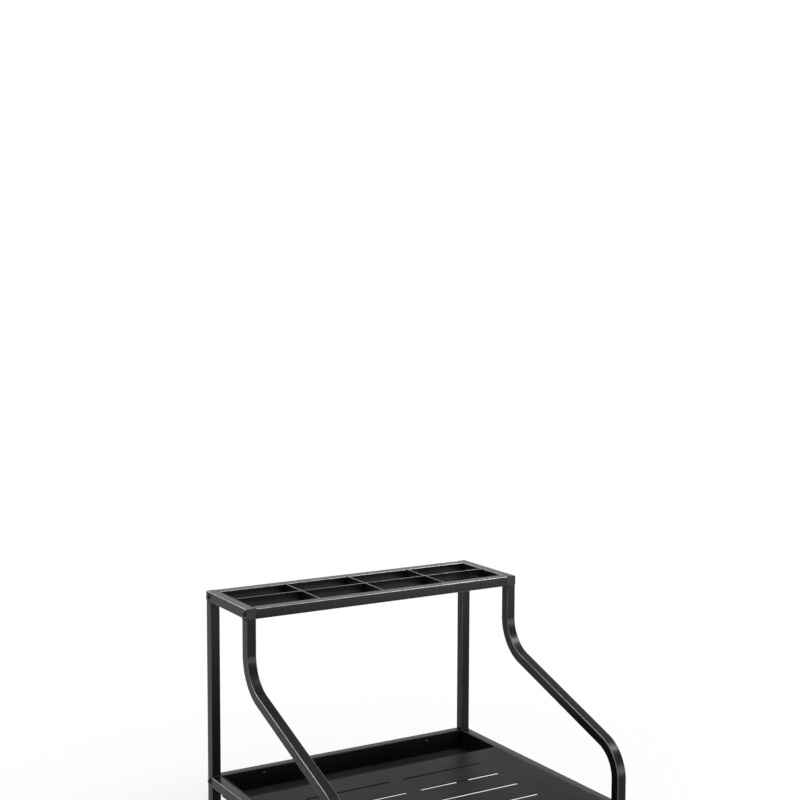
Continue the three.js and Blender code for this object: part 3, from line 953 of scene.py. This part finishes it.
def end_plug(node, outward):
    """A plug's lip with rounded corners and a shallow square recess in its face."""
    settings = bpy.context.scene.rack_tube
    low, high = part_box(node)
    if outward < 0:
        high.y = low.y + PLUG_LIP
    else:
        low.y = high.y - PLUG_LIP
    direction = outward * Y_AXIS
    piece = add_box(node + "_moulding", low, high)
    round_edges(piece, edges_along(Y_AXIS), settings.corner)
    step_face(piece, -direction, settings.wall + settings.rim, PLUG_SKIRT)
    face = (low + high + PLUG_LIP * direction) / 2
    reach = Vector((RECESS_HALF_WIDTH, RECESS_DEPTH, RECESS_HALF_WIDTH))
    recess = add_box("recess_cutter", face - reach, face + reach)
    cut(piece, round_edges(recess, edges_along(Y_AXIS), settings.corner / 2, steps=4))
    soften(piece, settings.rim)
    dress(piece, "Moulded plastic", PLUG_SLOT, node)


def domed_screw(name, radius, length, head_radius, head_height, socket):
    """A button head screw on the Z axis, with its seat at zero: a shank below a domed head with a
    hexagonal socket."""
    rim_height = HEAD_RIM_SHARE * head_height
    piece = add_cylinder(name, head_radius, Vector(), Z_AXIS * rim_height, sides=48)
    edit(piece, "FACE", faces(Z_AXIS))
    full_angle = math.acos(HEAD_FLAT_SHARE)
    last_radius = head_radius
    last_height = rim_height
    for i in range(1, DOME_STEPS + 1):
        angle = full_angle * i / DOME_STEPS
        ring_radius = head_radius * math.cos(angle)
        ring_height = rim_height + (head_height - rim_height) * math.sin(angle) / math.sin(full_angle)
        bpy.ops.mesh.inset(thickness=last_radius - ring_radius, depth=ring_height - last_height)
        last_radius = ring_radius
        last_height = ring_height
    pick(piece, "FACE", faces(-Z_AXIS))
    bpy.ops.mesh.inset(thickness=head_radius - radius)
    push(-Z_AXIS * length)
    done(piece)
    depth = SOCKET_DEPTH_SHARE * head_height
    bottom = Z_AXIS * (head_height - depth)
    top = Z_AXIS * (head_height + depth)
    cut(piece, add_cylinder("socket_cutter", socket / math.sqrt(3), bottom, top, sides=6))
    return soften(piece, HEAD_ROUNDING_SHARE * head_radius, angle=30)


def place_screw(model, node, outward, head_height):
    """Copies a screw onto its node, with its head towards a direction."""
    low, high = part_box(node)
    place = (low + high) / 2
    axis = max(range(3), key=lambda i: abs(outward[i]))
    place[axis] = (high if outward[axis] > 0 else low)[axis]
    seat = place - outward * head_height
    turn = outward.to_track_quat("Z", "Y").to_matrix().to_4x4()
    screw = copy_at(model, node + "_button_head", Matrix.Translation(seat) @ turn)
    dress(screw, "Black oxide", FASTENER_SLOT, node)


# Feet

def stud_radius(leg):
    low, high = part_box("foot_stud_" + leg)
    return (high.x - low.x) / 2


def leg_insert(leg):
    """The plastic insert in a leg's end: a lip with rounded corners and a round bore for the stud."""
    settings = bpy.context.scene.rack_tube
    node = "leg_insert_" + leg
    low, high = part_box(node)
    piece = add_box(node + "_moulding", low, Vector((high.x, high.y, low.z + INSERT_LIP)))
    round_edges(piece, edges_along(Z_AXIS), settings.corner)
    step_face(piece, Z_AXIS, settings.wall + settings.rim, high.z - low.z - INSERT_LIP)
    centre = (low + high) / 2
    start = Vector((centre.x, centre.y, low.z - INSERT_LIP))
    end = Vector((centre.x, centre.y, high.z + INSERT_LIP))
    cut(piece, add_cylinder("bore_cutter", stud_radius(leg) + GAP, start, end, sides=40))
    soften(piece, settings.rim)
    dress(piece, "Moulded plastic", PLUG_SLOT, node)


def foot_pad(leg):
    """A round rubber pad: a rim, a cone up to its hub, and ring grooves underneath."""
    node = "foot_pad_" + leg
    low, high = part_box(node)
    radius = (high.x - low.x) / 2
    stud_low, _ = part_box("foot_stud_" + leg)
    bottom = (low + high) / 2
    bottom.z = low.z
    piece = add_cylinder(node + "_moulding", radius, bottom, bottom + Z_AXIS * PAD_RIM, sides=64)
    edit(piece, "FACE", faces(Z_AXIS))
    bpy.ops.mesh.inset(thickness=radius - PAD_HUB, depth=high.z - low.z - PAD_RIM)
    bpy.ops.mesh.inset(thickness=PAD_HUB - stud_radius(leg) - GAP)
    push(Z_AXIS * (stud_low.z - high.z))
    groove = radius * PAD_GROOVE_SHARE
    for _ in range(PAD_GROOVES):
        pick(piece, "FACE", lambda face: face.normal.z < -ALONG and len(face.verts) > 4)
        bpy.ops.mesh.inset(thickness=groove)
        bpy.ops.mesh.inset(thickness=groove, depth=-groove / 3)
        bpy.ops.mesh.inset(thickness=groove / 3, depth=groove / 3)
    done(piece)
    soften(piece, PAD_ROUNDING, angle=30, steps=3)
    dress(piece, "Black rubber", FOOT_SLOT, node, body="foot_" + leg)


def threaded_stud(leg):
    """A stud with a rolled thread: a core, and a ridge wound round it."""
    node = "foot_stud_" + leg
    low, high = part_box(node)
    centre = (low + high) / 2
    radius = stud_radius(leg)
    root = radius - THREAD_DEPTH_SHARE * THREAD_PITCH
    bottom = Vector((centre.x, centre.y, low.z))
    top = Vector((centre.x, centre.y, high.z))
    piece = soften(add_cylinder(node + "_thread", root, bottom, top, sides=40), STUD_ROUNDING)

    bpy.ops.mesh.primitive_circle_add(vertices=3, radius=THREAD_PITCH / 2, rotation=(math.pi / 2, 0, 0))
    ridge = placed("ridge")
    place_ridge_section(ridge, root, radius)
    turns = int((high.z - low.z - 2 * THREAD_PITCH) / THREAD_PITCH)
    apply_modifier(
        ridge, "SCREW", angle=2 * math.pi, screw_offset=THREAD_PITCH, iterations=turns, axis="Z",
        steps=THREAD_STEPS, render_steps=THREAD_STEPS, use_merge_vertices=False,
    )
    ridge.data.transform(Matrix.Translation(bottom + Z_AXIS * THREAD_PITCH))
    edit(ridge, "EDGE", lambda edge: edge.is_boundary)
    bpy.ops.mesh.fill()
    done(ridge)
    recalculate(ridge)
    select_only(piece, ridge)
    bpy.ops.object.join()
    dress(piece, "Zinc plate", STUD_SLOT, node, body="foot_" + leg)


def place_ridge_section(ridge, root, crest):
    """Moves the three corners of the ridge's section to its root and its crest."""
    foot = root - 0.1 * THREAD_PITCH
    half = 0.46 * THREAD_PITCH
    for vertex, (x, z) in zip(ridge.data.vertices, ((foot, -half), (crest, 0), (foot, half))):
        vertex.co = (x, 0, z)


# Studio

def aim_camera():
    settings = bpy.context.scene.rack_stage
    bpy.ops.object.camera_add(location=settings.place)
    camera = bpy.context.object
    camera.name = "Camera"
    camera.data.sensor_width = SENSOR_WIDTH
    camera.data.lens = settings.lens
    camera.data.clip_start = 0.05
    camera.data.clip_end = 60
    turn = Matrix.Rotation(-settings.yaw, 4, "Z") @ Matrix.Rotation(math.pi / 2 - settings.pitch, 4, "X")
    turn = turn @ Matrix.Rotation(settings.roll, 4, "Z")
    camera.rotation_euler = turn.to_euler()
    bpy.context.scene.camera = camera


def add_lamp(name, place, target, size, power):
    bpy.ops.object.light_add(type="AREA", location=place)
    lamp = bpy.context.object
    lamp.name = name
    lamp.data.shape = "RECTANGLE"
    lamp.data.size, lamp.data.size_y = size
    lamp.data.energy = power * bpy.context.scene.rack_stage.strength
    lamp.visible_camera = False
    lamp.rotation_euler = (Vector(target) - Vector(place)).to_track_quat("-Z", "Y").to_euler()


def seen_by_eye(tree):
    """One for camera, glossy and transmission rays, which show the white background."""
    path = tree.nodes.new("ShaderNodeLightPath")
    seen = math_node(tree, "MAXIMUM", path.outputs["Is Camera Ray"], path.outputs["Is Glossy Ray"])
    return math_node(tree, "MAXIMUM", seen, path.outputs["Is Transmission Ray"])


def white_world():
    world = bpy.data.worlds.new("Studio")
    bpy.context.scene.world = world
    world.use_nodes = True
    tree = world.node_tree
    background = tree.nodes["Background"]
    background.inputs["Color"].default_value = (1, 1, 1, 1)
    strength = remap(tree, seen_by_eye(tree), (0.0, 1.0), (WORLD_LIGHT, 1.0))
    tree.links.new(strength, background.inputs["Strength"])


def pale_floor():
    """A wide pale floor that fades into the white background and keeps the object's shadow."""
    bpy.ops.mesh.primitive_plane_add(size=FLOOR_SIZE, location=(0, 0, -FLOOR_DROP))
    floor = named(bpy.context.object, "studio_floor")
    tree, shader, vector = start_material("Floor", metallic=0.0, specular=0.1)
    shader["Base Color"].default_value = (*bpy.context.scene.rack_stage.floor, 1)
    shader["Roughness"].default_value = 0.9
    glow = tree.nodes.new("ShaderNodeEmission")
    glow.inputs["Color"].default_value = (1, 1, 1, 1)
    length = tree.nodes.new("ShaderNodeVectorMath")
    length.operation = "LENGTH"
    tree.links.new(vector, length.inputs[0])
    fade = remap(tree, length.outputs["Value"], FLOOR_FADE, FLOOR_GLOW)
    mixed = tree.nodes.new("ShaderNodeMixShader")
    tree.links.new(math_node(tree, "MULTIPLY", fade, seen_by_eye(tree)), mixed.inputs["Fac"])
    tree.links.new(tree.nodes["Principled BSDF"].outputs["BSDF"], mixed.inputs[1])
    tree.links.new(glow.outputs["Emission"], mixed.inputs[2])
    tree.links.new(mixed.outputs["Shader"], tree.nodes["Material Output"].inputs["Surface"])
    floor.data.materials.append(bpy.data.materials["Floor"])


# Operators

class RACK_OT_finishes(bpy.types.Operator):
    """Makes the finishes that the pieces share"""
    bl_idname = "rack.finishes"
    bl_label = "Finishes"

    def execute(self, context):
        make_finishes()
        return {"FINISHED"}


class RACK_OT_side_frames(bpy.types.Operator):
    """Adds the posts, bent front tubes and side rails of the two side frames"""
    bl_idname = "rack.side_frames"
    bl_label = "Side frames"

    def execute(self, context):
        for word, _ in SIDES:
            straight_tube("rear_post_" + word, Z_AXIS, open_ends=True)
            straight_tube("top_side_rail_" + word, Y_AXIS, open_ends=True)
            straight_tube("lower_side_rail_" + word, Y_AXIS, open_ends=False)
            bent_tube("front_tube_" + word)
        return {"FINISHED"}


class RACK_OT_cross_rails(bpy.types.Operator):
    """Adds the rails that join the side frames"""
    bl_idname = "rack.cross_rails"
    bl_label = "Cross rails"

    def execute(self, context):
        for node in CROSS_RAILS:
            straight_tube(node, X_AXIS, open_ends=False)
        return {"FINISHED"}


class RACK_OT_bay_bars(bpy.types.Operator):
    """Adds the flat bars that divide the top ring into bays"""
    bl_idname = "rack.bay_bars"
    bl_label = "Bay bars"

    def execute(self, context):
        crossings = [sum(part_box(node), Vector()).x / 2 for node in BAY_BARS[1:]]
        bay_bar(BAY_BARS[0], X_AXIS, crossings, slot_side=1)
        for node in BAY_BARS[1:]:
            bay_bar(node, Y_AXIS, [0], slot_side=-1)
        return {"FINISHED"}


class RACK_OT_welds(bpy.types.Operator):
    """Adds the weld beads of the side frames and the tacks of the bay bars"""
    bl_idname = "rack.welds"
    bl_label = "Welds"

    def execute(self, context):
        side_frame_welds()
        bay_bar_welds()
        return {"FINISHED"}


class RACK_OT_deck(bpy.types.Operator):
    """Adds the folded deck with its drain slots"""
    bl_idname = "rack.deck"
    bl_label = "Deck"

    def execute(self, context):
        front_deck()
        return {"FINISHED"}


class RACK_OT_tray(bpy.types.Operator):
    """Adds the tray and its ribbed mat"""
    bl_idname = "rack.tray"
    bl_label = "Tray and mat"

    def execute(self, context):
        tray()
        tray_mat()
        return {"FINISHED"}


class RACK_OT_plugs(bpy.types.Operator):
    """Adds the plugs in the ends of the top side rails"""
    bl_idname = "rack.plugs"
    bl_label = "End plugs"

    def execute(self, context):
        for word, _ in SIDES:
            end_plug("end_plug_front_" + word, outward=-1)
            end_plug("end_plug_rear_" + word, outward=1)
        return {"FINISHED"}


class RACK_OT_bolts(bpy.types.Operator):
    """Adds the button head bolts that hold the cross rails"""
    bl_idname = "rack.bolts"
    bl_label = "Bolts"

    def execute(self, context):
        model = domed_screw("bolt_model", **BOLT)
        for rail in CROSS_RAILS:
            for word, sign in SIDES:
                place_screw(model, "bolt_" + rail + "_" + word, sign * X_AXIS, BOLT["head_height"])
        bpy.data.objects.remove(model)
        return {"FINISHED"}


class RACK_OT_screws(bpy.types.Operator):
    """Adds the small screws of the tray and the deck"""
    bl_idname = "rack.screws"
    bl_label = "Sheet screws"

    def execute(self, context):
        model = domed_screw("screw_model", **SHEET_SCREW)
        for word, sign in SIDES:
            outward = {
                "tray_screw_front_" + word: Y_AXIS, "tray_screw_rear_" + word: -Y_AXIS,
                "deck_screw_front_" + word: Y_AXIS, "deck_screw_side_" + word + "_1": -sign * X_AXIS,
                "deck_screw_side_" + word + "_2": -sign * X_AXIS,
            }
            for node, direction in outward.items():
                place_screw(model, node, direction, SHEET_SCREW["head_height"])
        bpy.data.objects.remove(model)
        return {"FINISHED"}


class RACK_OT_feet(bpy.types.Operator):
    """Adds the leg inserts, foot pads and threaded studs"""
    bl_idname = "rack.feet"
    bl_label = "Levelling feet"

    def execute(self, context):
        for leg in LEGS:
            leg_insert(leg)
            foot_pad(leg)
            threaded_stud(leg)
        return {"FINISHED"}


class RACK_OT_stage(bpy.types.Operator):
    """Adds the floor, lamps, world and camera"""
    bl_idname = "rack.stage"
    bl_label = "Studio"

    def execute(self, context):
        pale_floor()
        white_world()
        for name, lamp in LAMPS.items():
            add_lamp(name, *lamp)
        aim_camera()
        context.scene.view_settings.view_transform = "Standard"
        return {"FINISHED"}


class RACK_PT_panel(bpy.types.Panel):
    """Lists the steps that build the rack, and their settings"""
    bl_label = "Ski Rack"
    bl_idname = "RACK_PT_panel"
    bl_space_type = "VIEW_3D"
    bl_region_type = "UI"
    bl_category = "Ski Rack"

    def draw(self, context):
        for step in STEPS:
            self.layout.operator(step.bl_idname)
        for group in SETTINGS:
            settings = getattr(context.scene, group)
            box = self.layout.box()
            for key in settings.bl_rna.properties.keys():
                if key not in ("rna_type", "name"):
                    box.prop(settings, key)


STEPS = (
    RACK_OT_finishes, RACK_OT_side_frames, RACK_OT_cross_rails, RACK_OT_bay_bars, RACK_OT_welds,
    RACK_OT_deck, RACK_OT_tray, RACK_OT_plugs, RACK_OT_bolts, RACK_OT_screws, RACK_OT_feet, RACK_OT_stage,
)
SETTINGS = {
    "rack_tube": TubeSettings, "rack_sheet": SheetSettings, "rack_finish": FinishSettings,
    "rack_stage": StageSettings,
}


def register():
    for item in (*SETTINGS.values(), *STEPS, RACK_PT_panel):
        bpy.utils.register_class(item)
    for key, settings in SETTINGS.items():
        setattr(bpy.types.Scene, key, PointerProperty(type=settings))


def unregister():
    for key in SETTINGS:
        delattr(bpy.types.Scene, key)
    for item in (RACK_PT_panel, *reversed(STEPS), *reversed(SETTINGS.values())):
        bpy.utils.unregister_class(item)


def main():
    register()
    for step in STEPS:
        group, name = step.bl_idname.split(".")
        getattr(getattr(bpy.ops, group), name)()


if __name__ == "__main__":
    main()
